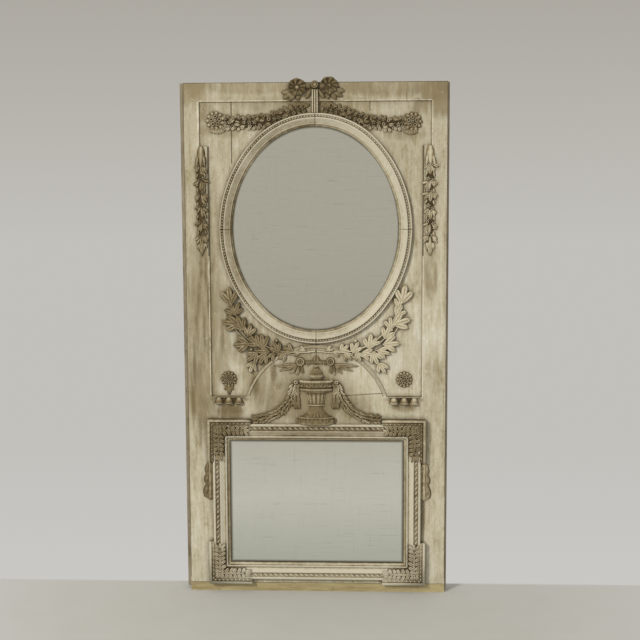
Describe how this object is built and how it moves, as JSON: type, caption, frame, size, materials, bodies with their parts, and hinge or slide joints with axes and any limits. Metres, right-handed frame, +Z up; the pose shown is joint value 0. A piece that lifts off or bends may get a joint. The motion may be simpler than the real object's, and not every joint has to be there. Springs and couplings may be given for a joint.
{
  "type": "trumeau mirror",
  "caption": "Tall painted wooden trumeau panel with a framed oval mirror above a framed rectangular mirror, with carved bow, swags, laurel sprays and an urn crest.",
  "frame": {"origin": "middle of the underside of the bottom batten, which the panel stands on", "axes": "+X to the viewer's right, -Y out of the mirrors towards the viewer, +Z up"},
  "size_m": [1.126, 0.106, 2.203],
  "materials": {
    "backing_wood": "thin unpainted boards",
    "bare_wood": "bare olive brown softwood, unfinished",
    "carved_wood": "aged brown paint on carving, dark in the hollows and rubbed pale on the high spots",
    "mirror_glass": "old silvered glass, faintly hazy with light scratches",
    "moulding_paint": "worn cream paint on mouldings, dirt in the quirks",
    "painted_boards": "worn cream paint on boards, stained and scratched",
    "rear_wood": "old unpainted softwood, sawn"
  },
  "bodies": {
    "root": {"arch_bow": "carved_wood", "arched_board": "painted_boards", "bottom_batten": "bare_wood", "corner_ear_bottom_left": "carved_wood", "corner_ear_bottom_right": "carved_wood", "corner_ear_top_left": "carved_wood", "corner_ear_top_right": "carved_wood", "crest_backplate": "painted_boards", "crest_garland_left": "carved_wood", "crest_garland_right": "carved_wood", "field_bottom_board": "painted_boards", "field_left_board": "painted_boards", "field_right_board": "painted_boards", "field_top_board": "painted_boards", "guttae_left": "carved_wood", "guttae_right": "carved_wood", "husk_drop_left": "carved_wood", "husk_drop_right": "carved_wood", "laurel_spray_left": "carved_wood", "laurel_spray_right": "carved_wood", "left_face_stile": "painted_boards", "lower_backboard": "backing_wood", "lower_blocks": "backing_wood", "lower_face_rail": "painted_boards", "lower_frame_bottom": "moulding_paint", "lower_frame_left": "moulding_paint", "lower_frame_right": "moulding_paint", "lower_frame_top": "moulding_paint", "lower_glass": "mirror_glass", "lower_left_stile": "painted_boards", "lower_right_stile": "painted_boards", "oval_backboard": "backing_wood", "oval_blocks": "backing_wood", "oval_frame_bottom_left": "moulding_paint", "oval_frame_bottom_right": "moulding_paint", "oval_frame_top_left": "moulding_paint", "oval_frame_top_right": "moulding_paint", "oval_glass": "mirror_glass", "patera_left": "carved_wood", "patera_right": "carved_wood", "rear_bottom_rail": "rear_wood", "rear_left_stile": "rear_wood", "rear_middle_rail": "rear_wood", "rear_right_stile": "rear_wood", "rear_top_rail": "rear_wood", "ribbon_strap": "carved_wood", "right_face_stile": "painted_boards", "side_scroll_left": "carved_wood", "side_scroll_right": "carved_wood", "top_bow": "carved_wood", "top_face_rail": "painted_boards", "top_swag_left": "carved_wood", "top_swag_right": "carved_wood", "urn": "carved_wood"}
  },
  "joints": []
}
